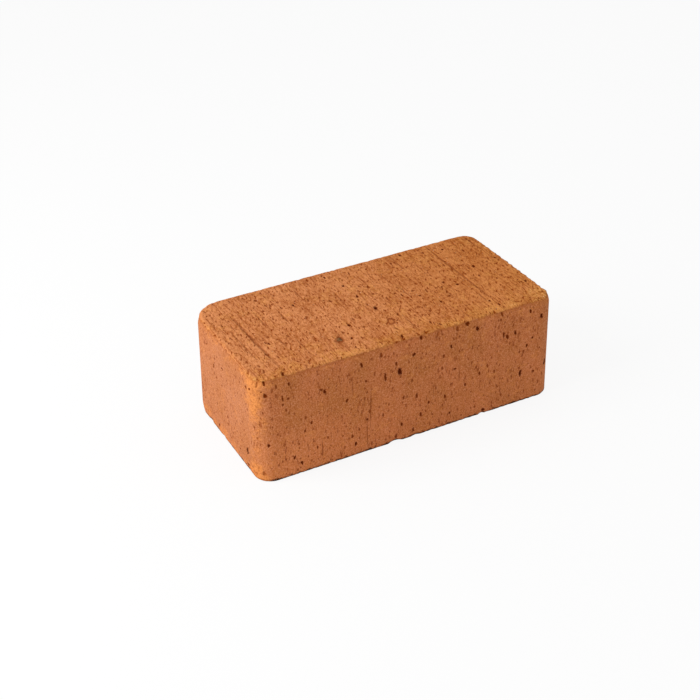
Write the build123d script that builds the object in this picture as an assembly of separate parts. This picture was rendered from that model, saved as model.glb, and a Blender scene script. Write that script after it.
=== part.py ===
from build123d import *
import os

# High alumina firebrick, one fired solid, lying on its lower bed face.
# Millimetres, +Z up. The origin is the centre of the lower bed face, +X runs along
# the length and +Y across the width. A stiff column of clay leaves the die along Z,
# so the die shapes the outline seen from above and the wire cuts both bed faces.

# Overall sizes
LENGTH = 230.0
WIDTH = 114.0
THICKNESS = 80.0

# Upright edges: all four leave the die with one radius. The one at the back left
# (-X, +Y) was rubbed while the clay was soft, more and more towards its top, where
# it has the larger radius.
DIE_CORNER_RADIUS = 12.5
RUBBED_TOP_RADIUS = 22.0

# Arrises round the two beds: the wire rolls the clay over on the upper one and
# leaves the lower one, on which the brick was set down, almost sharp
UPPER_ARRIS_RADIUS = 4.0
LOWER_ARRIS_RADIUS = 1.2

BACK_LEFT = Vector(-LENGTH / 2, WIDTH / 2)


def die_outline():
    """The outline seen from above: a rectangle on the origin with three rounded
    corners. The back left one stays square, for the rubbed edge."""
    with BuildSketch() as outline:
        Rectangle(LENGTH, WIDTH)
        fillet(outline.vertices().sort_by_distance(BACK_LEFT)[1:], DIE_CORNER_RADIUS)
    return outline.sketch


def corner_spandrel(radius, height):
    """What a rounding of this radius takes off the back left corner at this height:
    the patch between the square corner and the arc that touches both its sides."""
    on_left_side = BACK_LEFT - Vector(0, radius)
    on_back_side = BACK_LEFT + Vector(radius, 0)
    with BuildSketch(Plane.XY.offset(height)) as spandrel:
        with BuildLine():
            RadiusArc(on_left_side, on_back_side, radius)
            Polyline(on_back_side, BACK_LEFT, on_left_side)
        make_face()
    return spandrel.sketch


def rubbed_off_clay():
    """The clay missing from the back left upright edge, from the die's radius at the
    lower bed to the larger radius at the upper one."""
    at_lower_bed = corner_spandrel(DIE_CORNER_RADIUS, 0)
    at_upper_bed = corner_spandrel(RUBBED_TOP_RADIUS, THICKNESS)
    return loft([at_lower_bed, at_upper_bed])


def fired_brick():
    """The outline carried up through the thickness, less the rubbed off clay, with
    each bed's arris then rolled over in one unbroken run of edges."""
    with BuildPart() as brick:
        extrude(die_outline(), amount=THICKNESS)
        add(rubbed_off_clay(), mode=Mode.SUBTRACT)
        fillet(brick.edges().group_by(Axis.Z)[-1], UPPER_ARRIS_RADIUS)
        fillet(brick.edges().group_by(Axis.Z)[0], LOWER_ARRIS_RADIUS)
    return brick.part


os.makedirs("parts", exist_ok=True)
firebrick = fired_brick()
export_step(firebrick, "parts/firebrick.step")
size = firebrick.bounding_box().size
print(f"firebrick {size.X:.1f} x {size.Y:.1f} x {size.Z:.1f} mm, {firebrick.volume / 1000:.1f} cm3")
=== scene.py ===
# %% [markdown]
# # A wire-cut firebrick
#
# The brick is one block of fired clay, 230 x 114 x 80 mm. A stiff column of clay came
# out of a die, so the four side faces are smooth and streaked upwards. A wire then cut
# the two large faces, the beds, and dragged grains and grooves across them.
#
# The block could be left as the CAD solid with a bumpy material, but then its outline
# would be ruler straight. Here the CAD solid only gives the frame, and a fine skin of
# the same shape takes its place, so that pits, torn edges and chips are really there.

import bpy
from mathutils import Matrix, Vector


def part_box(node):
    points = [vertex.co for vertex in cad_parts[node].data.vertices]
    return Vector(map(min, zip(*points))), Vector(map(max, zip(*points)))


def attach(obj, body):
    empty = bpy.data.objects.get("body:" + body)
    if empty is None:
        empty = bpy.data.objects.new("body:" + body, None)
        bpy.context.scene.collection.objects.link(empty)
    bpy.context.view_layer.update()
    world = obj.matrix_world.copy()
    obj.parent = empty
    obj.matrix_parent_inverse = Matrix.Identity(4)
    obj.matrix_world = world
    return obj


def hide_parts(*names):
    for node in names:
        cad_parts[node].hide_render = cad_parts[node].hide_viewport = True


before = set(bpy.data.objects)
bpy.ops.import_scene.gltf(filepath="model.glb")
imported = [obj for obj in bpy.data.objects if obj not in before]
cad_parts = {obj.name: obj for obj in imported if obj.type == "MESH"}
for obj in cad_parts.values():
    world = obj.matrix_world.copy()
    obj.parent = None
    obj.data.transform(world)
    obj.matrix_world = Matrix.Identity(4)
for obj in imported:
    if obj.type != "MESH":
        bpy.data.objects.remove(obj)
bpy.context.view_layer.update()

# %% [markdown]
# ## The sizes
#
# Everything below is worked out in millimetres, because that is how a brick is
# measured, and turned into metres when the mesh is made. Length, width and thickness
# come from the frame. The radii are the ones that the CAD solid was made with.

# %% Sizes in millimetres
import math

import bpy
import numpy as np
from mathutils import Matrix, Vector

MM = 0.001
brick_low, brick_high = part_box("firebrick")
length, width, thickness = (np.array(brick_high) - np.array(brick_low)) / MM
half_length, half_width = length / 2, width / 2

DIE_CORNER = 12.5
RUBBED_CORNER_TOP = 22.0
UPPER_ARRIS = 4.0
LOWER_ARRIS = 1.2
print(f"brick {length:.1f} x {width:.1f} x {thickness:.1f} mm")

# %% [markdown]
# ## The outline seen from above
#
# A bed is a rectangle with rounded corners, and a grid has square ones. The grid could
# be trimmed, which leaves slivers along the arc. Here each corner square of the grid is
# pressed into a quarter disc instead, so the rows and columns stay whole and the
# outermost ones run exactly along the rounded outline.

# %% Press a grid into the rounded outline
def rounded_outline(across, along, inset, height):
    """Places grid points, given from -1 to 1 both ways, inside the outline moved
    inwards by inset at this height. In a corner square of side r, a point at the
    fractions p and q from the square's inner corner goes to r p sqrt(1 - q q / 2) and
    r q sqrt(1 - p p / 2), which turns the square's outer sides into an arc of radius
    r. Returns x, y and the direction that faces outwards there."""
    end_x = half_length - inset
    end_y = half_width - inset
    x = across * end_x
    y = along * end_y
    rubbed = (across < 0) & (along > 0)
    risen = height / thickness
    radius = np.where(rubbed, DIE_CORNER + (RUBBED_CORNER_TOP - DIE_CORNER) * risen, DIE_CORNER)
    radius = radius - inset
    p = np.clip((np.abs(x) - (end_x - radius)) / radius, 0, 1)
    q = np.clip((np.abs(y) - (end_y - radius)) / radius, 0, 1)
    both = (p > 0) & (q > 0)
    u = np.where(both, p * np.sqrt(1 - q * q / 2), p)
    v = np.where(both, q * np.sqrt(1 - p * p / 2), q)
    x = np.where(p > 0, np.sign(x) * (end_x - radius + radius * u), x)
    y = np.where(q > 0, np.sign(y) * (end_y - radius + radius * v), y)
    out_x = np.where(both, u, p >= q) * np.sign(across)
    out_y = np.where(both, v, q > p) * np.sign(along)
    size = np.hypot(out_x, out_y)
    return x, y, out_x / size, out_y / size


# %% The grid of a bed
COLUMNS, ROWS = 256, 96
grid_across, grid_along = np.meshgrid(np.linspace(-1, 1, COLUMNS), np.linspace(-1, 1, ROWS))
print(f"bed grid {length / (COLUMNS - 1):.2f} x {width / (ROWS - 1):.2f} mm")

# %% [markdown]
# ## The side wall
#
# The wall is a profile carried round the bed's outermost row of points. Seen in
# section, the profile is a small quarter circle at the lower arris, a straight rise,
# and a larger quarter circle at the upper arris. Its first and last levels are the
# border points of the two beds themselves, so the skin is closed without any seam.

# %% The profile of the wall
LEAN_BELOW_ARRIS = 2.0


def wall_profile(lower_steps, straight_steps, upper_steps):
    """Gives each level its inset from the outline, its height and the angle at which it
    faces upwards. On a quarter circle of radius r at the angle t, the inset is
    r (1 - cos t), and the height is r sin t from where the straight part starts. The
    cut rolls over only the upper half of the upper quarter circle. Below that crease
    the wall leans back in a straight line, inside the circle, which keeps it crisp. The
    line starts LEAN_BELOW_ARRIS mm under the quarter circle."""
    lower = np.linspace(-np.pi / 2, 0, lower_steps + 1)[:-1]
    straight = np.linspace(LOWER_ARRIS, thickness - UPPER_ARRIS, straight_steps + 1)
    upper = np.linspace(0, np.pi / 2, upper_steps + 1)[1:]
    inset = np.concatenate(
        [
            LOWER_ARRIS * (1 - np.cos(lower)),
            0 * straight,
            UPPER_ARRIS * (1 - np.cos(upper)),
        ]
    )
    height = np.concatenate(
        [
            LOWER_ARRIS * (1 + np.sin(lower)),
            straight,
            thickness - UPPER_ARRIS * (1 - np.sin(upper)),
        ]
    )
    tilt = np.concatenate([lower, 0 * straight, upper])
    crease = lower_steps + straight_steps + upper_steps // 2
    lean_from = thickness - UPPER_ARRIS - LEAN_BELOW_ARRIS
    lean = inset[crease] / (height[crease] - lean_from)
    leaning = (height > lean_from) & (np.arange(len(height)) < crease)
    inset[leaning] = lean * (height[leaning] - lean_from)
    tilt[leaning] = np.arctan(lean)
    return inset, height, tilt


LOWER_STEPS, STRAIGHT_STEPS, UPPER_STEPS = 4, 60, 8
level_inset, level_height, level_tilt = wall_profile(LOWER_STEPS, STRAIGHT_STEPS, UPPER_STEPS)
LEVELS = len(level_height)
print(f"wall of {LEVELS} levels, {level_height[0]:.1f} to {level_height[-1]:.1f} mm")

# %% Number the points of the skin
def border_walk(table):
    """Reads the outermost entries of a table in one round, counter-clockwise: the
    first row, the last column, the last row backwards, the first column backwards."""
    return np.concatenate([table[0, :-1], table[:-1, -1], table[-1, :0:-1], table[:0:-1, 0]])


around = len(border_walk(grid_across))
wall_number = np.arange(LEVELS * around).reshape(LEVELS, around)
inner_count = (ROWS - 2) * (COLUMNS - 2)


def bed_numbers(border, first_inner):
    """The point numbers of one bed: the border's are the wall's, in the order of the
    border walk, and the rest are new."""
    numbers = np.zeros((ROWS, COLUMNS), int)
    numbers[1:-1, 1:-1] = first_inner + np.arange(inner_count).reshape(ROWS - 2, COLUMNS - 2)
    sides = np.split(border, np.cumsum([COLUMNS - 1, ROWS - 1, COLUMNS - 1]))
    numbers[0, :-1] = sides[0]
    numbers[:-1, -1] = sides[1]
    numbers[-1, :0:-1] = sides[2]
    numbers[:0:-1, 0] = sides[3]
    return numbers


upper_number = bed_numbers(wall_number[-1], wall_number.size)
lower_number = bed_numbers(wall_number[0], wall_number.size + inner_count)
count = wall_number.size + 2 * inner_count
print("points of the skin:", count)

# %% Place the points on the CAD shape
point = np.zeros((count, 3))
facing = np.zeros((count, 3))
inset, height, tilt = level_inset[:, None], level_height[:, None], level_tilt[:, None]
x, y, out_x, out_y = rounded_outline(
    border_walk(grid_across), border_walk(grid_along), inset, height
)
point[wall_number] = np.stack([x, y, np.broadcast_to(height, x.shape)], axis=2)
facing[wall_number] = np.stack(
    [out_x * np.cos(tilt), out_y * np.cos(tilt), np.broadcast_to(np.sin(tilt), x.shape)],
    axis=2,
)
for numbers, inset, height, up in (
    (upper_number, UPPER_ARRIS, thickness, 1.0),
    (lower_number, LOWER_ARRIS, 0.0, -1.0),
):
    x, y, _, _ = rounded_outline(grid_across, grid_along, inset, height)
    inside = numbers[1:-1, 1:-1]
    point[inside] = np.stack([x, y, np.full(x.shape, height)], axis=2)[1:-1, 1:-1]
    facing[inside] = (0.0, 0.0, up)
print("skin box, mm:", np.round(point.max(axis=0) - point.min(axis=0), 2))

# %% Join the points into faces
def quads(numbers):
    """The four corners of every cell in a table of point numbers, counter-clockwise."""
    corners = [numbers[:-1, :-1], numbers[:-1, 1:], numbers[1:, 1:], numbers[1:, :-1]]
    return np.stack(corners, axis=2).reshape(-1, 4)


closed_wall = np.concatenate([wall_number, wall_number[:, :1]], axis=1)
faces = np.concatenate([quads(closed_wall), quads(upper_number), quads(lower_number)[:, ::-1]])
print("triangles:", 2 * len(faces))

# %% [markdown]
# ## Where the wire's cut ends
#
# The grainy cut face rolls part of the way over each arris and then stops at a ragged
# line, where the smooth skin from the die begins. A painted mask could mark it, but a
# mask stored at the points is only as sharp as the grid. Each point is given its
# distance from that line instead, positive on the cut side. A distance stays true
# between the points, so the material can draw the line as sharply as it likes.

# %% Distance from the cut's edge, along the surface
walked = np.concatenate([[0], np.cumsum(np.hypot(np.diff(level_inset), np.diff(level_height)))])
upper_crease = LOWER_STEPS + STRAIGHT_STEPS + UPPER_STEPS // 2
lower_crease = LOWER_STEPS // 2
level_cut = np.maximum(walked - walked[upper_crease], walked[lower_crease] - walked)

# Points inside a bed are all well past the line, so they share one distance in mm.
PAST_THE_BORDER = 1.5
cut_distance = np.zeros(count)
cut_distance[wall_number] = level_cut[:, None]
cut_distance[upper_number[1:-1, 1:-1]] = level_cut[-1] + PAST_THE_BORDER
cut_distance[lower_number[1:-1, 1:-1]] = level_cut[0] + PAST_THE_BORDER

# The relief of the cut face fades in over this many millimetres, half on either side.
FADES_IN_OVER = 1.6
cut_weight = np.clip(cut_distance / FADES_IN_OVER + 0.5, 0, 1)
print(f"the cut rolls {level_cut[-1]:.1f} mm over the upper arris")

# %% [markdown]
# ## Random heights
#
# Clay is uneven at every size at once. Blender's own textures could shape it through a
# modifier, but then nothing else could be worked out from the same numbers. The helper
# below is value noise: a block of random numbers on a lattice, read smoothly between
# its corners. Long cells give streaks, and short ones give grains.

# %% Value noise
LATTICE = 64


def value_noise(places, cell, seed):
    """Smooth random numbers from 0 to 1. The space is divided into cells of this size,
    every cell corner has a random number, and a place inside a cell blends its eight
    corners with the weights t t (3 - 2 t) of its fractions t. The numbers come round
    again after LATTICE cells."""
    corners = np.random.default_rng(seed).random((LATTICE, LATTICE, LATTICE))
    scaled = places / np.array(cell)
    low = np.floor(scaled).astype(int)
    t = scaled - low
    t = t * t * (3 - 2 * t)
    total = np.zeros(len(places))
    for step in np.ndindex(2, 2, 2):
        weight = np.prod(np.where(step, t, 1 - t), axis=1)
        i, j, k = ((low + step) % LATTICE).T
        total += weight * corners[i, j, k]
    return total


sample = value_noise(point, (9, 9, 9), seed=1)
print(f"noise in cells of 9 mm: {sample.min():.2f} to {sample.max():.2f}")

# %% [markdown]
# ## Pits
#
# Gas and burnt-out grit leave small dark pits. On the side faces the die has drawn them
# out upwards, and on the beds the wire has drawn them across the brick. Each pit is
# kept as a centre, three directions, a half size along each, and a depth. The largest
# ones stand about where the photograph shows them, because they are what this brick is
# known by. Most of their places were typed in while looking at views with a ruling over
# them, and the six on the rounded near corner were projected from the picture and
# rounded. The many smaller ones are scattered at random.

# %% A pit on each kind of face
# A point counts as facing a way when this share of its direction points there.
MOSTLY = 0.7


def mark(centre, outwards, wide, long, deep, lean=0.0):
    """One hollow. Its long axis lies upwards on a side face and across the brick on a
    bed, turned in the face by lean degrees. The axes are its rows: across, long, out."""
    outwards = np.asarray(outwards, float)
    on_bed = abs(outwards[2]) > MOSTLY
    long_axis = np.array((0.0, 1.0, 0.0) if on_bed else (0.0, 0.0, 1.0))
    long_axis = long_axis - outwards * (long_axis @ outwards)
    long_axis = long_axis / np.linalg.norm(long_axis)
    across_axis = np.cross(long_axis, outwards)
    turn = math.radians(lean)
    axes = np.array(
        [
            across_axis * math.cos(turn) + long_axis * math.sin(turn),
            long_axis * math.cos(turn) - across_axis * math.sin(turn),
            outwards,
        ]
    )
    return np.asarray(centre, float), axes, np.array([wide / 2, long / 2, wide / 2]), deep


# %% The pits that this brick is known by
# On the front face: x, height, width, length, depth, lean.
FRONT_PITS = [
    (-10, 56.5, 3, 6, 2.4, 8), (-9.5, 52, 1, 1.5, 1.2, 0), (1, 66.5, 2.5, 2, 2, 30),
    (50.5, 72, 2, 3.5, 2.2, 22), (103, 66.5, 2, 4, 2.2, 16), (87, 24.5, 2, 5, 2.2, -4),
    (108.5, 26.5, 2.5, 5, 2.4, 0), (-21, 55.5, 1.5, 6.5, 1.6, 4), (-66, 58.5, 2, 4, 1.9, 18),
    (-68.5, 61, 1.5, 2.5, 1.4, 45), (-38.5, 70.5, 1.5, 4.5, 1.8, 14), (-107.5, 29.5, 2, 2.5, 2, 0),
    (-90, 14.5, 1.5, 3, 1.9, -12), (-85, 8.5, 1.5, 3, 2, 12), (-44.5, 9.5, 1.5, 3.5, 1.9, 4),
    (7, 77.5, 2, 2.5, 1.8, 0), (30, 64, 1.5, 3, 1.9, 8), (33, 45, 2, 1.5, 1.6, 0),
    (12.5, 24.5, 1.5, 2.5, 1.7, 0), (-9, 13.5, 1.5, 3, 1.7, 10), (29, 10, 1.5, 2, 1.7, 0),
    (0, 6, 1.5, 3, 1.7, 6), (93.5, 73, 1.5, 3, 1.8, 10), (81.5, 59.5, 1.5, 3.5, 1.9, 16),
    (75, 58, 2, 4, 1.6, 20), (72, 60.5, 1, 4.5, 1.6, 4), (91.5, 46, 1.5, 2.5, 1.6, 0),
    (96, 51, 1.5, 1.5, 1.6, 0), (53, 35, 1.5, 3, 1.5, 4), (56.5, 3.5, 2.5, 2.5, 2, 0),
    (98, 22.5, 2, 2, 1.5, 20), (-35.5, 26.5, 1.5, 2, 1.6, 0), (-73, 17, 1, 2.5, 1.5, 0),
    (-50, 46.5, 1.5, 3, 1.5, -20), (-76.5, 38, 1.5, 2.5, 1.5, 0), (-81.5, 33, 1.5, 2, 1.4, 0),
    (-12.5, 63.5, 1.5, 3, 1.5, 12), (-35.5, 57, 1.5, 2, 1.4, 0), (3, 33, 1.5, 4, 1.4, 0),
    (6, 16.5, 1.5, 3.5, 1.5, 6), (41.5, 29.5, 1.5, 2.5, 1.5, 10), (24, 58, 1.5, 2.5, 1.4, 0),
    (43, 77.5, 3, 3, 1.6, 0), (35, 76, 2, 4, 1.2, 0), (-91, 73, 1.5, 2.5, 1.6, 10),
    (-107.5, 68.5, 2.5, 3, 1.6, 20), (-96, 63.5, 1, 4.5, 1.4, 6), (-92, 62, 1.5, 1.5, 1.4, 0),
    (-96, 58.5, 1.5, 1.5, 1.3, 0), (-107.5, 77.5, 1.5, 3.5, 1.7, 12), (70.5, 77, 1.5, 3.5, 1.3, 20),
    (-13.5, 5, 2, 4, 1.3, 0),
]
# On the upper bed: x, y, width, length, depth, lean.
UPPER_BED_PITS = [
    (-2.5, -9.5, 2.5, 5, 2.4, -16), (-7.5, 29.5, 2, 2.5, 2, -20), (-6, 11, 1.5, 3.5, 1.8, -16),
    (-50, 22.5, 1.5, 2.5, 1.9, 0), (-29, -21, 2, 3, 1.9, 14), (-93.5, -54, 2, 4, 1.9, -14),
    (-5, -51.5, 1.5, 5, 1.8, -16), (63.5, -9, 2.5, 2.5, 1.9, -30), (87.5, 8, 2, 4, 1.7, -20),
    (81.5, 42, 2, 2, 1.8, 0), (50, 50, 2, 3, 1.7, 0), (107.5, -29, 2, 2.5, 1.8, -20),
    (56.5, -1.5, 2, 2.5, 1.6, -30), (41, -24.5, 1.5, 2.5, 1.7, -20), (32.5, -10, 1.5, 2, 1.7, -20),
    (22, -3, 1.5, 3, 1.5, 0), (19, 1.5, 1.5, 2, 1.4, 0), (31.5, -1.5, 2.5, 1.5, 1.3, 0),
    (70.5, -40.5, 1.5, 2.5, 1.6, -16), (73.5, -48, 1.5, 2.5, 1.6, 0), (-86, -16, 1.5, 3, 1.7, 10),
    (-35, -37, 1.5, 2.5, 1.6, -16), (-70, 41.5, 2.5, 2.5, 1.3, 30), (-13.5, 47, 1.5, 3, 1.5, 0),
    (-38, -48.5, 1, 3, 1.4, -16), (-104, 20.5, 1, 2.5, 1.4, 0), (40, -6, 1, 5.5, 1.2, -12),
    (66.5, 44.5, 1.5, 2.5, 1.4, 0), (52, -7, 1.5, 2, 1.4, -20), (108, 11.5, 2, 2, 1.7, 0),
    (-87.5, -14, 1.5, 2.5, 1.4, 10), (4.5, 44, 1, 3.5, 1.2, -16),
]
# On the left end: y, height, width, length, depth, lean.
LEFT_END_PITS = [
    (-35, 15, 3, 5.5, 2.6, -14), (0.5, 60, 2.5, 2, 1.6, 0), (16, 54, 2, 4, 1.5, -10),
    (16, 48, 1.5, 2.5, 1.2, 0), (-41, 69, 2, 2.5, 1.4, 0), (-46.5, 70.5, 2.5, 1.5, 1.4, 20),
    (-40.5, 51.5, 1.5, 2.5, 1, -20), (15.5, 5.5, 2, 2.5, 1.4, -20), (26, 66, 2, 1.5, 1, 0),
    (-2.5, 23, 1.5, 2.5, 1.2, 0), (13, 61.5, 1.5, 2, 1, 0), (-35, 3.5, 2, 2, 1.5, 0),
    (3.5, 45, 1.5, 2, 0.9, 0), (-51, 34, 1.5, 2, 0.9, 0), (-42.5, 6.5, 2, 2, 0.9, 0),
    (-53.5, 46, 2, 5, 0.7, 6), (-52.5, 76, 1.5, 4.5, 0.9, -10), (-53.5, 6.5, 2, 3.5, 1, 0),
]

# Round a rounded edge, a point is still on the side when it faces it by this share.
ROUND_THE_EDGE = 0.25


def mark_on(side, first, second, *size):
    """One hollow on the side that faces this way, at two coordinates. The third one and
    the direction outwards are those of the nearest point of the skin, so a hollow near a
    rounded edge lies in the clay and not in the air beside it."""
    axis = int(np.argmax(np.abs(side)))
    others = [number for number in range(3) if number != axis]
    seen = np.flatnonzero(facing @ np.array(side) > ROUND_THE_EDGE)
    gap = np.linalg.norm(point[seen][:, others] - (first, second), axis=1)
    nearest = seen[np.argmin(gap)]
    centre = point[nearest].copy()
    centre[others] = first, second
    return mark(centre, facing[nearest], *size)


placed_pits = (
    [mark_on((0, -1, 0), *numbers) for numbers in FRONT_PITS]
    + [mark_on((0, 0, 1), *numbers) for numbers in UPPER_BED_PITS]
    + [mark_on((-1, 0, 0), *numbers) for numbers in LEFT_END_PITS]
)
print("placed pits:", len(placed_pits))

# %% Scatter the small pits
SMALL_ONES_COMMON = 1.6
OFF_THE_GRID = 0.5
DEEP_TO_WIDE = (0.5, 0.9)


def scatter(candidates, how_many, widths, stretch, lean, seed):
    """Picks points of the skin at random as centres and shifts them along the face by
    up to OFF_THE_GRID mm. A width is drawn from widths as u to a power above 1, so that
    small ones are common, the length is the width times a draw from stretch, and the
    depth is the width times a draw from DEEP_TO_WIDE."""
    rng = np.random.default_rng(seed)
    chosen = rng.choice(candidates, how_many, replace=False)
    found = []
    for number in chosen:
        wide = widths[0] + (widths[1] - widths[0]) * rng.random() ** SMALL_ONES_COMMON
        long = wide * rng.uniform(*stretch)
        shift = rng.uniform(-OFF_THE_GRID, OFF_THE_GRID, 3) * (1 - np.abs(facing[number]))
        deep = wide * rng.uniform(*DEEP_TO_WIDE)
        turned = rng.normal(0, lean)
        found.append(mark(point[number] + shift, facing[number], wide, long, deep, turned))
    return found


everywhere = np.arange(count)
skin = cut_weight == 0
front_skin = everywhere[(facing[:, 1] < -MOSTLY) & skin]
back_skin = everywhere[(facing[:, 1] > MOSTLY) & skin]
left_skin = everywhere[(facing[:, 0] < -MOSTLY) & skin]
right_skin = everywhere[(facing[:, 0] > MOSTLY) & skin]
FLAT = 0.95
upper_bed_points = everywhere[facing[:, 2] > FLAT]
lower_bed_points = everywhere[facing[:, 2] < -FLAT]
scattered_pits = (
    scatter(back_skin, 55, (1.1, 2.5), (1.2, 2.4), 12, seed=10)
    + scatter(right_skin, 16, (1.1, 2.3), (1.2, 2.4), 12, seed=14)
    + scatter(lower_bed_points, 40, (1.2, 2.4), (1.2, 2.2), 16, seed=15)
    + scatter(front_skin, 34, (1.0, 1.7), (1.2, 2.4), 12, seed=19)
    + scatter(upper_bed_points, 26, (1.1, 1.9), (1.2, 2.2), 16, seed=20)
    + scatter(left_skin, 8, (1.0, 1.7), (1.2, 2.2), 12, seed=22)
    + scatter(front_skin, 290, (0.6, 1.4), (1.2, 2.8), 9, seed=11)
    + scatter(back_skin, 290, (0.6, 1.4), (1.2, 2.8), 9, seed=16)
    + scatter(left_skin, 44, (0.6, 1.4), (1.2, 2.4), 9, seed=12)
    + scatter(right_skin, 60, (0.6, 1.4), (1.2, 2.4), 9, seed=17)
    + scatter(upper_bed_points, 260, (0.7, 1.5), (1.3, 3.0), 14, seed=13)
    + scatter(lower_bed_points, 240, (0.7, 1.5), (1.3, 3.0), 14, seed=18)
)

# A scattered pit is dropped when an earlier centre is nearer than this, in mm.
CLEAR_BETWEEN_PITS = 2.6
all_pits = placed_pits + scattered_pits
centres = np.array([centre for centre, _, _, _ in all_pits])
gaps = np.linalg.norm(centres[:, None] - centres[None, :], axis=2)
crowded = np.tril(gaps < CLEAR_BETWEEN_PITS, -1).any(axis=1)
crowded[: len(placed_pits)] = False
pits = [pit for pit, drop in zip(all_pits, crowded) if not drop]
print("pits after the crowded ones are dropped:", len(pits))

# %% [markdown]
# ## Telling the material where a hollow is
#
# A pit is one or two grid cells wide, so a mask at the points would draw it as a blurred
# diamond. The corners of each face carry their offset from one pit's centre instead, the
# one nearest to that face, counted in the pit's own half sizes. Across a face the offset
# is exact, so its length is 1 right along the rim, and the material can cut it sharply.

# %% Find the nearest hollow
FAR = 3.6


def nearest_mark(places, marks):
    """For every place: the number of the hollow whose rim is nearest, going by the
    distance from its centre in its own half sizes, and that distance. The number is -1
    where every hollow is further than FAR half sizes away."""
    chosen = np.full(len(places), -1)
    nearest = np.full(len(places), FAR)
    for number, (centre, axes, half_sizes, _) in enumerate(marks):
        close = np.flatnonzero(np.abs(places - centre).max(axis=1) < FAR * half_sizes.max())
        reach = np.linalg.norm((places[close] - centre) @ axes.T / half_sizes, axis=1)
        nearer = reach < nearest[close]
        chosen[close[nearer]] = number
        nearest[close[nearer]] = reach[nearer]
    return chosen, nearest


def corner_offsets(marks):
    """For the four corners of every face: the offset from the centre of the hollow that
    is nearest to the middle of the face, along the hollow's axes and divided by its half
    sizes, and the hollow's depth, which is 0 where no hollow is near."""
    chosen, _ = nearest_mark(point[faces].mean(axis=1), marks)
    centre, axes, half_sizes, deep = (np.array(column) for column in zip(*marks))
    away = point[faces] - centre[chosen][:, None]
    offset = np.einsum("fcj,fij->fci", away, axes[chosen]) / half_sizes[chosen][:, None]
    return offset.reshape(-1, 3), np.repeat(np.where(chosen < 0, 0.0, deep[chosen]), 4)


def bowls(marks, share):
    """The depth of the hollows at every point of the skin: a share of the written depth
    times 1 - s s, at the fraction s of the way from the centre to the rim."""
    chosen, reach = nearest_mark(point, marks)
    deep = np.array([deep for _, _, _, deep in marks])
    return share * deep[chosen] * np.clip(1 - reach**2, 0, 1)


PIT_SHARE = 0.45
pit_bowls = bowls(pits, PIT_SHARE)
print("points inside a pit:", int((pit_bowls > 0).sum()))

# %% [markdown]
# ## Grooves, hairlines and bare lumps
#
# Where the wire caught a grain it ploughed a thin groove in the direction of the cut,
# across the brick. Two of them cross more than half of the upper bed, eight are shorter,
# and finer ones lie at random in both beds. The front has upright hairlines instead,
# drawn by the die. All of them are long thin hollows and go through the same helper. Two
# lumps lie bare in the upper bed, one of grey grog and one of clay, each with a dark rim
# of painted shade in the gap round it. The one in the lower bed is a guess, because no
# picture shows that side.

# %% Grooves in the beds and hairlines in the front
# On the upper bed: x, the y at both ends, width, depth, lean.
UPPER_BED_GROOVES = [
    (-93, 22.5, -41.5, 2.3, 1.7, 1.5), (73, 51.5, -31.5, 1.4, 1.15, 0.5),
    (69, -28, -41, 1.3, 1.2, 0), (42, 49, 27, 1.2, 0.9, 0), (106, 48, 33, 1.4, 1.2, 0),
    (-40.5, 42, 29, 1.1, 0.8, 0), (-67.5, -18, -38, 1, 0.8, 0), (52, -12, -24, 1.2, 0.9, 0),
    (-77.5, -13, -25, 1.2, 1, 3), (-101.5, 8, -29, 1, 0.7, 2),
]
# On the front face: x, the heights of both ends, width, depth, lean.
FRONT_HAIRLINES = [
    (-69.5, 21, 7, 0.9, 1.3, 0), (-32.5, 48, 19, 0.9, 1.2, -2), (-35.5, 24.5, 5, 0.8, 1.1, 0),
    (-45.5, 62, 50, 0.8, 0.8, 0), (36.5, 45, 32, 0.8, 0.8, 0), (16, 38, 28, 0.7, 0.6, 0),
]


# The random ones: the range of each middle's y and x, of the lengths and of the widths.
FINE_GROOVE_Y, FINE_GROOVE_X = (-40, 40), (-105, 105)
FINE_GROOVE_LENGTH, FINE_GROOVE_WIDTH = (6, 30), (0.8, 1.5)


def dragged(height, up, how_many, deep, seed):
    """Fine grooves across the brick at random places of the bed at this height, which
    faces up or down. Every size is drawn evenly from its range."""
    rng = np.random.default_rng(seed)
    found = []
    for _ in range(how_many):
        middle_y = rng.uniform(*FINE_GROOVE_Y)
        long = rng.uniform(*FINE_GROOVE_LENGTH)
        middle_x = rng.uniform(*FINE_GROOVE_X)
        wide = rng.uniform(*FINE_GROOVE_WIDTH)
        found.append(mark((middle_x, middle_y, height), (0, 0, up), wide, long, deep))
    return found


grooves = [
    mark((x, (one + other) / 2, thickness), (0, 0, 1), wide, abs(one - other), *rest)
    for x, one, other, wide, *rest in UPPER_BED_GROOVES
]
grooves += [
    mark((x, -half_width, (one + other) / 2), (0, -1, 0), wide, abs(one - other), *rest)
    for x, one, other, wide, *rest in FRONT_HAIRLINES
]
grooves += dragged(thickness, 1, how_many=8, deep=0.7, seed=23)
grooves += dragged(0, -1, how_many=16, deep=0.9, seed=21)
print(len(grooves), "grooves and hairlines")

# %% Bare lumps
# A lump has its kind where a pit has its depth, and the material tells them apart by it.
GREY_GROG, CLAY_LUMP = 1.0, 0.5
STONES = [
    mark((-43.5, -35, thickness), (0, 0, 1), 5.2, 7.4, GREY_GROG, -36),
    mark((-2, -31, thickness), (0, 0, 1), 4.8, 7.6, CLAY_LUMP, -24),
    mark((38, 21, 0), (0, 0, -1), 4.2, 5.0, GREY_GROG, 12),
]
print(len(STONES), "bare lumps")

# %% [markdown]
# ## Chips along the edges
#
# The arrises are the weakest places. The right-hand one was torn by the wire leaving the
# clay, and the lower one was knocked when the brick was set down, hardest at the far
# left corner. Each chip is a round bite out of the edge, deepest in its middle.

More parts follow.
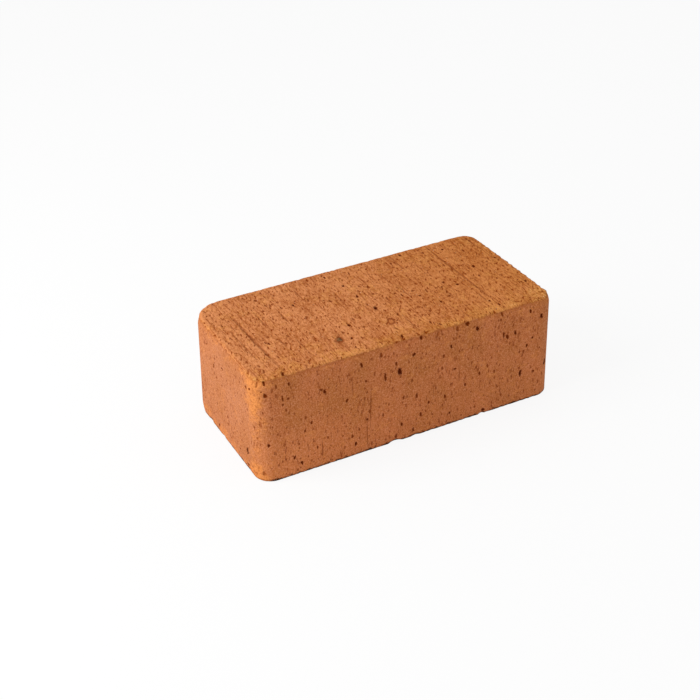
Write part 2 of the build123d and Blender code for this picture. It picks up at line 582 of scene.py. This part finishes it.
# %% Bites out of the arrises
def bite(chips):
    """The depth taken off every point: for a chip of radius r and depth d, a point at
    the distance s from its centre loses d (1 - s s / (r r)), and nothing beyond r."""
    taken = np.zeros(count)
    for centre, radius, deep in chips:
        away = np.linalg.norm(point - np.array(centre), axis=1) / radius
        taken = np.maximum(taken, deep * np.clip(1 - away**2, 0, None))
    return taken


# The y of the tears along the right-hand upper arris, with their radius and depth.
TORN_RIGHT = [
    (42, 2.4, 0.6), (31, 2.7, 1.1), (26, 1.9, 0.5), (20, 2.3, 0.8), (10, 2.6, 1.1),
    (5, 1.9, 0.5), (0, 2.5, 1.0), (-8, 2.3, 0.8), (-16, 2.6, 1.1), (-24, 2.4, 1.0),
    (-29, 1.9, 0.6), (-36, 2.3, 0.8), (-42, 2.8, 1.1),
]
chips = [((half_length - 1, y, thickness - 1), radius, deep) for y, radius, deep in TORN_RIGHT]
# The knocks along the lower arris: centre, radius and depth.
chips += [
    ((-14.0, -half_width, 0.0), 5.5, 1.2),
    ((55.5, -half_width, 0.0), 2.6, 0.9),
    ((2.0, -half_width, 0.0), 3.5, 0.5),
    ((2.5 - half_length, 50.5, 0.0), 7.0, 2.0),
    ((-half_length, 46.0, 0.0), 3.2, 0.7),
    ((-half_length, 31.0, 0.0), 4.0, 0.6),
    ((-half_length, 8.0, 0.0), 3.0, 0.4),
]
print(len(chips), "chips with a place of their own")

# %% Small chips at random
upper_side = point[:, 2] > thickness / 2
steep = np.abs(facing[:, 2])
upper_edge = everywhere[(steep > 0.5) & (steep < 0.9) & upper_side]
lower_edge = everywhere[(steep > 0.3) & (steep < 0.9) & ~upper_side]
torn_edge = upper_edge[facing[upper_edge, 0] > 0.4]
chip_rng = np.random.default_rng(31)
for edge, how_many, radii, depths in (
    (upper_edge, 90, (1.4, 2.4), (0.1, 0.35)),
    (lower_edge, 50, (1.4, 2.4), (0.1, 0.25)),
    (torn_edge, 60, (1.2, 1.9), (0.4, 1.1)),
):
    for number in chip_rng.choice(edge, how_many, replace=False):
        chips.append((point[number], chip_rng.uniform(*radii), chip_rng.uniform(*depths)))
chipped = bite(chips)
print("deepest chip:", round(chipped.max(), 2), "mm")

# %% [markdown]
# ## The relief
#
# All the hollows are added up, and every point moves inwards along the direction that
# it faces. Nothing is ever added outwards, so the brick stays inside its CAD box and
# lies on the floor with its highest spots.

# %% Add up the depths and move the points
def above(level, rough):
    """Keeps the part of a random height that lies above a level, so that the rest of
    the face stays flat."""
    return np.clip(rough - level, 0, None)


# The drag of the wire, the streaks of the die and broad shallow dents, all in mm.
drag = (
    0.10 * value_noise(point, (1.9, 19, 9), seed=41)
    + 0.12 * value_noise(point, (2.1, 5.5, 9), seed=42)
    + 0.12 * value_noise(point, (2.0, 2.4, 9), seed=43)
)
drawn = 0.08 * value_noise(point, (3.1, 3.1, 34), seed=44)
drawn += 0.04 * value_noise(point, (2.3, 2.3, 9), seed=45)
sag = 0.5 * above(0.55, value_noise(point, (38, 31, 27), seed=46))

WORN_OFF_ENDS = 0.45
GROOVE_SHARE = 0.35
depth = sag + cut_weight * above(0.15, drag) + (1 - cut_weight) * above(0.05, drawn)
depth += WORN_OFF_ENDS * facing[:, 0] ** 2
depth += pit_bowls
depth += bowls(grooves, GROOVE_SHARE)
depth += chipped
moved = point - facing * depth[:, None]
print(f"depths {depth.min():.2f} to {depth.max():.2f} mm, on average {depth.mean():.2f}")

# %% Make the mesh
mesh = bpy.data.meshes.new("fired_brick")
mesh.from_pydata(moved * MM, [], faces)
mesh.shade_smooth()
brick = bpy.data.objects.new("fired_brick", mesh)
bpy.context.scene.collection.objects.link(brick)
print("faces in the mesh:", len(mesh.polygons))

# %% [markdown]
# ## Where the clay fired ochre or ruddy, and where the ends are tan with painted sheen
#
# The body is a pinkish brown. It turns to ochre where the flame reached it best: along
# the front of the upper bed, most of all at its right front corner, and on the left end
# in bands at the foot, beside the near upright edge and along the upper edge. Both ends
# are paler and tan, partly a tan skin and partly a painted sheen in place of the glancing
# reflection that the matt clay leaves out. The front is ruddier low down, as is the right
# half of the upper bed and a patch high on the left end. These are soft zones, so a
# number at each point is enough.

# %% Soft zones
def near(value, centre, spread):
    """A soft hump: 1 at the centre, falling off as exp(-s s) at s spreads away."""
    return np.exp(-(((value - centre) / spread) ** 2))


x, y, z = point.T
left_end = np.clip(-facing[:, 0], 0, 1)
both_ends = np.abs(facing[:, 0])
front_face = np.clip(-facing[:, 1], 0, 1)
upper_bed = np.clip(facing[:, 2], 0, 1)
towards_right = np.clip((x + 30) / 130, 0, 1)
right_corner = near(x, 105, 16) * near(y, -50, 12)
ochre = upper_bed * (
    0.55 * near(y, -57, 13) + 0.2 * near(x, 108, 9) + right_corner + 0.06 * towards_right
)
ochre += left_end * (
    1.2 * near(y, -48, 8) * near(z, 66, 19) + 0.6 * near(z, 1, 7) + 0.2 * near(z, 79, 4)
)
ochre += left_end * 0.8 * near(y, -50, 22) * near(z, 80, 5)
ochre += left_end * near(y, -51, 7) * (0.9 * near(z, 4, 8) + 0.35)
ochre = np.clip(ochre, 0, 1)
# Both ends are paler: partly a tan skin, partly painted sheen in place of the reflection that the
# low specular leaves out.
tan_and_sheen = 0.6 * both_ends
ruddy = 0.5 * left_end * near(y, 33, 14) * near(z, 70, 14)
ruddy += front_face * (0.6 * near(x, -90, 50) * near(z, 5, 28) + 0.5 * near(z, 0, 32))
ruddy += upper_bed * towards_right * (1 - right_corner)
ruddy = np.clip(ruddy, 0, 1)
print(f"ochre on {np.mean(ochre > 0.5):.0%} of the points, ruddy on {np.mean(ruddy > 0.5):.0%}")

# %% Store what the material reads
def store(name, values):
    """Puts one number or one vector per point or per face corner into the mesh."""
    kind, field = ("FLOAT", "value") if values.ndim == 1 else ("FLOAT_VECTOR", "vector")
    where = "POINT" if len(values) == count else "CORNER"
    made = mesh.attributes.new(name, kind, where)
    made.data.foreach_set(field, values.astype(np.float32).ravel())


store("cut_distance", cut_distance)
store("ochre", ochre)
store("tan_and_sheen", tan_and_sheen)
store("ruddy", ruddy)
for name, marks in (("pit", pits), ("groove", grooves), ("stone", STONES)):
    offset, deep = corner_offsets(marks)
    store(name + "_offset", offset)
    store(name + "_depth", deep)
print("attributes:", [a.name for a in mesh.attributes if not a.name.startswith(".")])

# %% [markdown]
# ## The fired clay
#
# One material covers the brick, because it is one clay. It could be two materials with a
# border along the faces, but the real border is ragged and finer than the grid. Two
# colours are worked out side by side, one for the die's skin and one for the cut face,
# and the distance from the cut's edge chooses between them.

# %% Start the material and its small helpers
clay = bpy.data.materials.new("fired_clay")
clay.use_nodes = True
tree = clay.node_tree
shader = tree.nodes["Principled BSDF"]


def node(kind, inputs, output=0, **settings):
    """Adds a node, sets or links its inputs by name or number, and returns an output."""
    made = tree.nodes.new(kind)
    for name, value in settings.items():
        setattr(made, name, value)
    for name, value in inputs.items():
        if isinstance(value, bpy.types.NodeSocket):
            tree.links.new(value, made.inputs[name])
        else:
            made.inputs[name].default_value = value
    return made.outputs[output]


def colour(red, green, blue):
    """A colour as a paint chart gives it, 0 to 255, turned into Blender's linear one. A
    share s of 255 becomes s / 12.92 where it is small, and elsewhere the power 2.4 of
    (s + 0.055) / 1.055."""
    share = np.array([red, green, blue]) / 255
    linear = np.where(share < 0.04045, share / 12.92, ((share + 0.055) / 1.055) ** 2.4)
    return (*linear.tolist(), 1.0)


def in_cells(across, along, up, lean=0.0):
    """Object coordinates counted in cells of this size in millimetres. The cells can
    lean in the bed by some degrees, as the drag of the wire does."""
    place = node("ShaderNodeTexCoord", {}, "Object")
    if lean:
        turn = {"Vector": place, "Angle": math.radians(lean)}
        place = node("ShaderNodeVectorRotate", turn, rotation_type="Z_AXIS")
    cells_in_a_metre = (1 / (across * MM), 1 / (along * MM), 1 / (up * MM))
    return node("ShaderNodeMapping", {"Vector": place, "Scale": cells_in_a_metre})


def noise(cells, detail, roughness=0.5):
    """Soft noise, one blob to a cell. Every step of detail adds blobs of half the size,
    and roughness is their strength against that of the step before."""
    inputs = {"Vector": cells, "Scale": 1.0, "Detail": detail, "Roughness": roughness}
    return node("ShaderNodeTexNoise", inputs, "Fac")


def span(value, low, high, bottom=0.0, top=1.0):
    """Stretches low to high into bottom to top, and holds it there outside."""
    return node(
        "ShaderNodeMapRange",
        {"Value": value, "From Min": low, "From Max": high, "To Min": bottom, "To Max": top},
    )


def blend(share, first, second):
    """The first colour where share is 0, the second where it is 1."""
    return node("ShaderNodeMix", {0: share, 6: first, 7: second}, 2, data_type="RGBA")


def math_of(operation, first, second):
    """One sum, product or other step on two numbers."""
    return node("ShaderNodeMath", {0: first, 1: second}, operation=operation)


def times(first, second):
    """The product of two numbers."""
    return math_of("MULTIPLY", first, second)


def stored(name, output="Fac"):
    """One of the brick's own attributes."""
    return node("ShaderNodeAttribute", {}, output, attribute_name=name)


print("material started:", clay.name)

# %% [markdown]
# ### The skin from the die
#
# Clay that slid along a metal die is smooth and faintly streaked in the direction that
# it moved. Broad soft patches run from a pinkish brown to an olive one, and the stored
# zones turn them ruddy, or tan with a painted sheen on the ends. Tall narrow cells make
# the streaks, and tiny dark specks and dashes sit between them.

# %% Colour of the side faces
PINKISH = colour(205, 121, 72)
OLIVE = colour(190, 114, 60)
# The colour of the ends: partly their own tan, partly painted sheen.
TAN_AND_SHEEN_SKIN = colour(191, 132, 91)
RUDDY_SKIN = colour(220, 134, 79)
PALE_SKIN = colour(226, 151, 110)
# Dark worn skin, also used for painted shade just inside the cut's edge.
WORN_SKIN_AND_SHADE = colour(155, 76, 24)
patches = noise(in_cells(28, 28, 34), 2.0, 0.6)
side = blend(span(patches, 0.36, 0.64), PINKISH, OLIVE)
# Painted sheen: the ends are blended towards the paler tan.
side = blend(times(stored("tan_and_sheen"), span(patches, 0.35, 0.65, 0.85, 0.5)), side, TAN_AND_SHEEN_SKIN)
side = blend(times(stored("ruddy"), span(patches, 0.35, 0.65, 1.0, 0.5)), side, RUDDY_SKIN)
streaks = noise(in_cells(1.6, 1.6, 17), 2.0)
side = blend(span(streaks, 0.35, 0.75, 0.0, 0.22), side, WORN_SKIN_AND_SHADE)
fine = noise(in_cells(0.8, 0.8, 1.1), 2.0, 0.8)
side = blend(span(fine, 0.5, 0.72, 0.0, 0.9), side, PALE_SKIN)
side = blend(span(fine, 0.5, 0.24, 0.0, 0.9), side, WORN_SKIN_AND_SHADE)
print("nodes with the side faces:", len(tree.nodes))

# %% Specks and dashes on the side faces
SPECK_EDGE = 0.07


def specks(cells, largest):
    """1 inside small dots and 0 between them. Each cell has one dot, whose radius is a
    random share of the largest, so many cells have none to speak of."""
    dots = node("ShaderNodeTexVoronoi", {"Vector": cells, "Scale": 1.0})
    pick = node("ShaderNodeTexVoronoi", {"Vector": cells, "Scale": 1.0}, "Color")
    radius = times(node("ShaderNodeSeparateColor", {"Color": pick}, "Red"), largest)
    return span(math_of("SUBTRACT", radius, dots), 0.0, SPECK_EDGE)


SPECK = colour(132, 58, 18)
side_specks = specks(in_cells(2.6, 2.6, 3.8), largest=0.30)
side = blend(times(side_specks, 0.7), side, SPECK)
dashes = span(noise(in_cells(1.2, 1.2, 4.0), 1.0), 0.60, 0.72)
crowds = span(noise(in_cells(11, 11, 15), 1.0), 0.42, 0.60, 0.15, 0.7)
side = blend(times(dashes, crowds), side, SPECK)
print("nodes with the specks:", len(tree.nodes))

# %% [markdown]
# ### The cut face
#
# The wire opened the clay and dragged its grains along, so the cut face is a dense
# pattern of short dark strokes and pale grains, all lying across the brick. Cells that
# are longer one way than the other give the drag, and a few much longer ones give the
# thin lines that cross half the face. Where the bed is most ochre, its grains gather in
# bright and dark clumps, which is why the right front corner looks flecked. The clumps
# are partly painted light: the bright ones stand for highlights on lumps, the dark ones
# for the shade between them.

# %% Colour of the beds
DARK_GRAIN = colour(158, 74, 0)
PALE_GRAIN = colour(236, 155, 100)
RUDDY_GRAIN = colour(225, 143, 79)
DARK_OCHRE = colour(164, 84, 10)
PALE_OCHRE = colour(240, 163, 89)
# The brightest ochre, partly a painted highlight on lumps.
BRIGHT_OCHRE_HIGHLIGHT = colour(254, 186, 112)
SCRATCH = colour(144, 59, 0)
ochre_patches = span(noise(in_cells(8, 10, 7), 3.0, 0.75), 0.35, 0.65, -0.52, 0.42)
ochre_share = math_of("ADD", stored("ochre"), ochre_patches)
dark = blend(span(ochre_share, 0.0, 1.0), DARK_GRAIN, DARK_OCHRE)
pale = blend(stored("ruddy"), PALE_GRAIN, RUDDY_GRAIN)
pale = blend(span(ochre_share, 0.0, 1.0), pale, PALE_OCHRE)
DRAG_LEAN = 14.0
grain = noise(in_cells(1.3, 2.7, 1.3, DRAG_LEAN), 4.0, 0.82)
bed_patches = noise(in_cells(22, 30, 22), 2.0)
grain_and_patch = math_of("ADD", grain, span(bed_patches, 0.3, 0.7, -0.05, 0.05))
bed = blend(span(grain_and_patch, 0.30, 0.61), dark, pale)
drag_lines = noise(in_cells(1.2, 18, 9), 1.0)
bed = blend(span(drag_lines, 0.54, 0.74, 0.0, 0.6), bed, SCRATCH)
torn = noise(in_cells(1.6, 4.4, 1.6, DRAG_LEAN), 1.0)
strokes = span(torn, 0.60, 0.71)
bed = blend(times(strokes, 0.95), bed, SCRATCH)
print("nodes with the beds:", len(tree.nodes))

# %% Clumps where the bed is most ochre, partly painted highlights and shade
clumps = noise(in_cells(2.0, 2.6, 2.0), 1.0)
most_ochre = span(ochre_share, 0.7, 1.05)
# Painted highlights: the bright clumps stand partly for lumps catching the light.
bright_clumps_and_highlights = span(clumps, 0.52, 0.62, 0.0, 0.6)
bed = blend(times(most_ochre, bright_clumps_and_highlights), bed, BRIGHT_OCHRE_HIGHLIGHT)
# Painted shade: the dark clumps stand partly for the shade between the lumps.
dark_clumps_and_shade = span(clumps, 0.46, 0.36, 0.0, 0.7)
bed = blend(times(most_ochre, dark_clumps_and_shade), bed, DARK_OCHRE)
print("nodes with the clumps:", len(tree.nodes))

# %% [markdown]
# ### The ragged line between them
#
# The stored distance alone would draw a straight line. A noise of about a millimetre is
# added to it, so the line wanders. Just below it the skin is darkened with painted shade,
# as under a lip, and where the clay fired ochre the skin takes on that colour in mottles.

# %% Choose between the two along a ragged line
OCHRE_SKIN = colour(236, 151, 82)
ragged = span(noise(in_cells(1.8, 1.8, 1.8), 3.0, 0.7), 0.25, 0.75, -1.2, 1.2)
from_cut = math_of("ADD", stored("cut_distance"), ragged)
is_cut = span(from_cut, -0.2, 0.2)
rubbed_grain = blend(span(fine, 0.15, 0.55), WORN_SKIN_AND_SHADE, OCHRE_SKIN)
mottles = span(noise(in_cells(2.4, 2.4, 2.8), 2.0, 0.7), 0.53, 0.68, 0.0, 0.6)
rubbed_grain = blend(mottles, rubbed_grain, WORN_SKIN_AND_SHADE)
side = blend(span(ochre_share, 0.15, 0.9, 0.0, 0.85), side, rubbed_grain)
# Painted shade: the skin within about 2 mm of the cut's edge is darkened, as under a lip.
side = blend(span(from_cut, -2.2, -0.4, 0.0, 0.3), side, WORN_SKIN_AND_SHADE)
body = blend(is_cut, side, bed)
print("nodes with both sides of the line:", len(tree.nodes))

# %% [markdown]
# ### Painted shade at the foot
#
# The last millimetres above the floor are darkened in a ragged line, a painted contact
# shadow where the brick meets the floor. Height alone would also darken the whole lower
# bed, which lies at the floor's level, so the painted shade fades out past the arris and
# only a trace of it is left on the bed.

# %% Darken the foot with a painted contact shadow
# Painted contact shadow: a dark ragged line along the last millimetres above the floor.
FOOT_SHADE = colour(62, 33, 15)
place = node("ShaderNodeTexCoord", {}, "Object")
height_above_floor = node("ShaderNodeSeparateXYZ", {"Vector": place}, "Z")
shaded_up_to = span(noise(in_cells(3.5, 3.5, 3.5), 2.0, 0.7), 0.35, 0.75, 0.9 * MM, 3.4 * MM)
foot_shade = span(math_of("DIVIDE", height_above_floor, shaded_up_to), 1.1, 0.55)
foot_shade = times(foot_shade, span(ochre_share, 0.2, 0.7, 1.0, 0.25))
arris_end = float(level_cut[0])
on_arris = span(from_cut, arris_end - 0.5, arris_end + 0.7, 1.0, 0.12)
foot_shade = times(foot_shade, on_arris)
body = blend(foot_shade, body, FOOT_SHADE)
print(f"the lower arris ends {arris_end:.2f} mm past the cut's edge")

# %% [markdown]
# ### Pits, grooves and lumps
#
# The offsets stored at the face corners become rims here: the length of an offset is 1
# along the rim. A little noise is added to the offset first, so that no pit is a perfect
# ellipse. The modelled hollows are too shallow to darken much by themselves, so pits and
# grooves are filled with painted shade. Light that enters a deep pit meets clay many times
# over, which leaves that shade a deep red brown and never black.

# %% Draw the hollows
# A face with no hollow near it has the depth 0, and every hollow is deeper than this.
NO_DEPTH = 0.05


def rim(name, unevenness, cells, soft, size=1.0):
    """1 inside the hollows of this name and 0 outside. The rim lies where the length of
    the shaken offset is size, and the change is spread over soft of that length. The
    unevenness says how far the noise shakes the offset along each axis."""
    shake = node("ShaderNodeTexNoise", {"Vector": cells, "Scale": 1.0, "Detail": 1.0}, "Color")
    shift = node("ShaderNodeVectorMath", {0: shake, 1: (0.5, 0.5, 0.5)}, operation="SUBTRACT")
    shift = node("ShaderNodeVectorMath", {0: shift, 1: unevenness}, operation="MULTIPLY")
    offset = node("ShaderNodeVectorMath", {0: stored(name + "_offset", "Vector"), 1: shift})
    away = node("ShaderNodeVectorMath", {0: offset}, "Value", operation="LENGTH")
    inside = span(away, size + soft / 2, size - soft / 2)
    exists = math_of("GREATER_THAN", stored(name + "_depth"), NO_DEPTH)
    return times(inside, exists)


# Painted shade in the hollows, from a lighter brown in shallow pits to a deep red brown on the
# floor of deep ones.
PIT_SHADE = colour(138, 58, 8)
GROOVE_FLOOR_SHADE = colour(134, 62, 20)
PIT_FLOOR_SHADE = colour(88, 26, 0)
in_pit = rim("pit", (1.2, 1.2, 1.2), in_cells(1.1, 1.1, 1.1), soft=0.45, size=1.02)
pit_shade = times(in_pit, span(stored("pit_depth"), 0.4, 1.6, 0.4, 1.0))
pit_shade_colour = blend(span(stored("pit_depth"), 0.9, 2.4), PIT_SHADE, PIT_FLOOR_SHADE)
body = blend(pit_shade, body, pit_shade_colour)
# Painted shade along the grooves and hairlines, broken up along their length.
in_groove = rim("groove", (1.6, 0.3, 0.0), in_cells(1.5, 4.5, 4.5), soft=1.0)
broken_up = span(noise(in_cells(4, 7, 7), 1.0), 0.35, 0.6, 0.6, 1.0)
groove_shade = times(in_groove, span(stored("groove_depth"), 0.3, 1.4, 0.35, 0.9))
groove_shade = times(groove_shade, broken_up)
body = blend(groove_shade, body, GROOVE_FLOOR_SHADE)
print("nodes with the pits and grooves:", len(tree.nodes))

# %% Draw the lumps
# Painted shade in the gap round each lump.
LUMP_RIM_SHADE = colour(136, 58, 12)
DARK_GROG, PALE_GROG = colour(84, 56, 30), colour(148, 110, 72)
LUMP_OF_CLAY = colour(216, 131, 74)
lump_noise = in_cells(1.6, 1.6, 1.6)
lump = rim("stone", (1.1, 1.1, 1.1), lump_noise, soft=0.45, size=0.7)
around_lump = rim("stone", (1.1, 1.1, 1.1), lump_noise, soft=0.45, size=1.2)
grog = blend(span(noise(in_cells(1.9, 2.6, 1.9), 2.0), 0.38, 0.58), DARK_GROG, PALE_GROG)
lump_colour = blend(span(stored("stone_depth"), 0.6, 0.9), LUMP_OF_CLAY, grog)
rim_shade_share = span(stored("stone_depth"), 0.6, 0.9, 0.95, 0.7)
# Painted shade: a dark rim round each lump, stronger round the clay lump than round the grog.
body = blend(times(around_lump, rim_shade_share), body, LUMP_RIM_SHADE)
body = blend(times(lump, span(torn, 0.45, 0.6, 0.95, 0.6)), body, lump_colour)
MATT = 0.06
shader.inputs["Specular IOR Level"].default_value = MATT
tree.links.new(body, shader.inputs["Base Color"])
print("nodes with the lumps:", len(tree.nodes))

# %% [markdown]
# ### Roughness and small relief
#
# Fired clay is matt everywhere. The die's skin is a little closer than the torn grain
# of the beds, and the pits are the roughest. The bump is measured in millimetres, so
# that a reader can compare it with a real grain.

# %% Roughness
skin_roughness = span(patches, 0.3, 0.7, 0.66, 0.76)
grain_roughness = span(grain, 0.3, 0.7, 0.84, 0.94)
roughness = node("ShaderNodeMix", {0: is_cut, 2: skin_roughness, 3: grain_roughness})
roughness = math_of("MAXIMUM", roughness, times(in_pit, 0.95))
tree.links.new(roughness, shader.inputs["Roughness"])
print("nodes with the roughness:", len(tree.nodes))

# %% Bump
def lowered(height, where, deep):
    """The height, less deep millimetres where the mask is 1."""
    return math_of("SUBTRACT", height, times(where, deep))


skin_height = math_of("ADD", times(streaks, 0.12), times(fine, 0.12))
bed_height = lowered(times(grain, 0.70), drag_lines, 0.12)
bed_height = lowered(bed_height, strokes, 0.25)
height = node("ShaderNodeMix", {0: is_cut, 2: skin_height, 3: bed_height})
height = lowered(height, pit_shade, 0.4)
height = lowered(height, groove_shade, 0.3)
moat = math_of("SUBTRACT", around_lump, lump)
height = lowered(height, moat, 0.3)
bump = node("ShaderNodeBump", {"Strength": 1.0, "Distance": MM, "Height": height}, "Normal")
tree.links.new(bump, shader.inputs["Normal"])
print("nodes in the clay:", len(tree.nodes))

# %% [markdown]
# ## In the CAD solid's place
#
# The skin could lie over the solid, but then the solid would show through in every pit.
# It stands for the solid instead, which is no longer shown, and it rides on the one body
# that the brick has.

# %% Put the skin in the CAD solid's place
mesh.materials.append(clay)
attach(brick, "root")
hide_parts("firebrick")
print(brick.name, "stands for the CAD solid")

# %% [markdown]
# ## The floor
#
# The brick lies on a plain white sweep. A white floor lit like the brick would come out
# pale grey, so towards the camera most of its light is its own, at the strength that is
# white, and the rest is lit, which keeps the brick's soft shadow.

# %% Floor sheet
FLOOR_REACH = 4.0
floor_mesh = bpy.data.meshes.new("floor")
ends_of_floor = np.array([(-1, -1, 0), (1, -1, 0), (1, 1, 0), (-1, 1, 0)]) * FLOOR_REACH
floor_mesh.from_pydata(ends_of_floor, [], [(0, 1, 2, 3)])
floor = bpy.data.objects.new("floor", floor_mesh)
bpy.context.scene.collection.objects.link(floor)
print(f"floor of {2 * FLOOR_REACH:.0f} x {2 * FLOOR_REACH:.0f} m")

# %% White of the floor
WHITE = (1.0, 1.0, 1.0, 1.0)
PAPER_WHITE = (0.95, 0.95, 0.95, 1.0)
OWN_LIGHT = 0.88


def seen_directly():
    """1 on rays from the camera, a mirror or glass, and 0 on rays that light things."""
    rays = tree.nodes.new("ShaderNodeLightPath")
    seen = math_of("ADD", rays.outputs["Is Camera Ray"], rays.outputs["Is Glossy Ray"])
    return math_of("ADD", seen, rays.outputs["Is Transmission Ray"])


paper = bpy.data.materials.new("white_sweep")
paper.use_nodes = True
tree = paper.node_tree
tree.nodes.clear()
seen = seen_directly()
lit = node("ShaderNodeBsdfDiffuse", {"Color": PAPER_WHITE})
glow = node("ShaderNodeEmission", {"Color": WHITE, "Strength": 1.0})
glow_share = span(seen, 0.0, 1.0, 0.0, OWN_LIGHT)
surface = node("ShaderNodeMixShader", {0: glow_share, 1: lit, 2: glow})
sheet_end = tree.nodes.new("ShaderNodeOutputMaterial")
tree.links.new(surface, sheet_end.inputs["Surface"])
floor_mesh.materials.append(paper)
print("nodes in the floor:", len(tree.nodes))

# %% [markdown]
# ## The light
#
# A studio lights a brick with one large soft lamp from above on the left, here a little
# behind the brick's middle, and lets white walls fill the rest. The left end is then the
# brightest face, the upper bed is lit about as its colour is written, and the long front
# is in half shade.

# %% Fill light from all round
world = bpy.data.worlds.new("white_room")
bpy.context.scene.world = world
world.use_nodes = True
tree = world.node_tree
tree.nodes.clear()
FILL = 0.60
strength = span(seen_directly(), 0.0, 1.0, FILL, 1.0)
room = node("ShaderNodeBackground", {"Color": WHITE, "Strength": strength})
room_end = tree.nodes.new("ShaderNodeOutputWorld")
tree.links.new(room, room_end.inputs["Surface"])
print(f"fill light of {FILL:.2f}")

# %% Key lamp
KEY_FROM = Vector((-0.80, 0.10, 0.60)).normalized()
KEY_DISTANCE = 1.1
KEY_LEVEL = 0.61
KEY_SIZE = 0.65
lamp = bpy.data.lights.new("key", "AREA")
lamp.shape = "SQUARE"
lamp.size = KEY_SIZE
lamp.energy = math.pi**2 * KEY_DISTANCE**2 * KEY_LEVEL
key = bpy.data.objects.new("key", lamp)
middle = Vector((0, 0, thickness * MM / 2))
key.location = middle + KEY_FROM * KEY_DISTANCE
key.rotation_euler = KEY_FROM.to_track_quat("Z", "Y").to_euler()
bpy.context.scene.collection.objects.link(key)
print(f"key lamp of {lamp.energy:.1f} W")

# %% [markdown]
# ## The camera
#
# The camera was found by fitting the brick's outline to the photograph: where it stands
# round the brick, how high, how far, its small roll and its lens. The brick lies a
# little to the right of the picture's middle, so the camera stands a little to the left.

# %% Camera
AZIMUTH, ELEVATION, ROLL = math.radians(-26.34), math.radians(31.58), math.radians(-1.93)
DISTANCE = 0.9596
LENS_IN_PIXELS = 1352.9
PICTURE_WIDTH = 700
RIGHT_OF_MIDDLE = 23.3
SENSOR_WIDTH = 36.0

back = Vector(
    (
        math.sin(AZIMUTH) * math.cos(ELEVATION),
        -math.cos(AZIMUTH) * math.cos(ELEVATION),
        math.sin(ELEVATION),
    )
)
level_right = Vector((math.cos(AZIMUTH), math.sin(AZIMUTH), 0))
level_up = back.cross(level_right)
right = math.cos(ROLL) * level_right + math.sin(ROLL) * level_up
up = math.cos(ROLL) * level_up - math.sin(ROLL) * level_right
pixel = DISTANCE / LENS_IN_PIXELS
camera_data = bpy.data.cameras.new("camera")
camera_data.sensor_width = SENSOR_WIDTH
camera_data.lens = LENS_IN_PIXELS / PICTURE_WIDTH * SENSOR_WIDTH
camera = bpy.data.objects.new("camera", camera_data)
spot = middle + back * DISTANCE - right * RIGHT_OF_MIDDLE * pixel
camera.matrix_world = Matrix.Translation(spot) @ Matrix((right, up, back)).transposed().to_4x4()
bpy.context.scene.collection.objects.link(camera)
bpy.context.scene.camera = camera
bpy.context.scene.view_settings.view_transform = "Standard"
print(f"lens {camera_data.lens:.2f} mm at {DISTANCE:.3f} m")
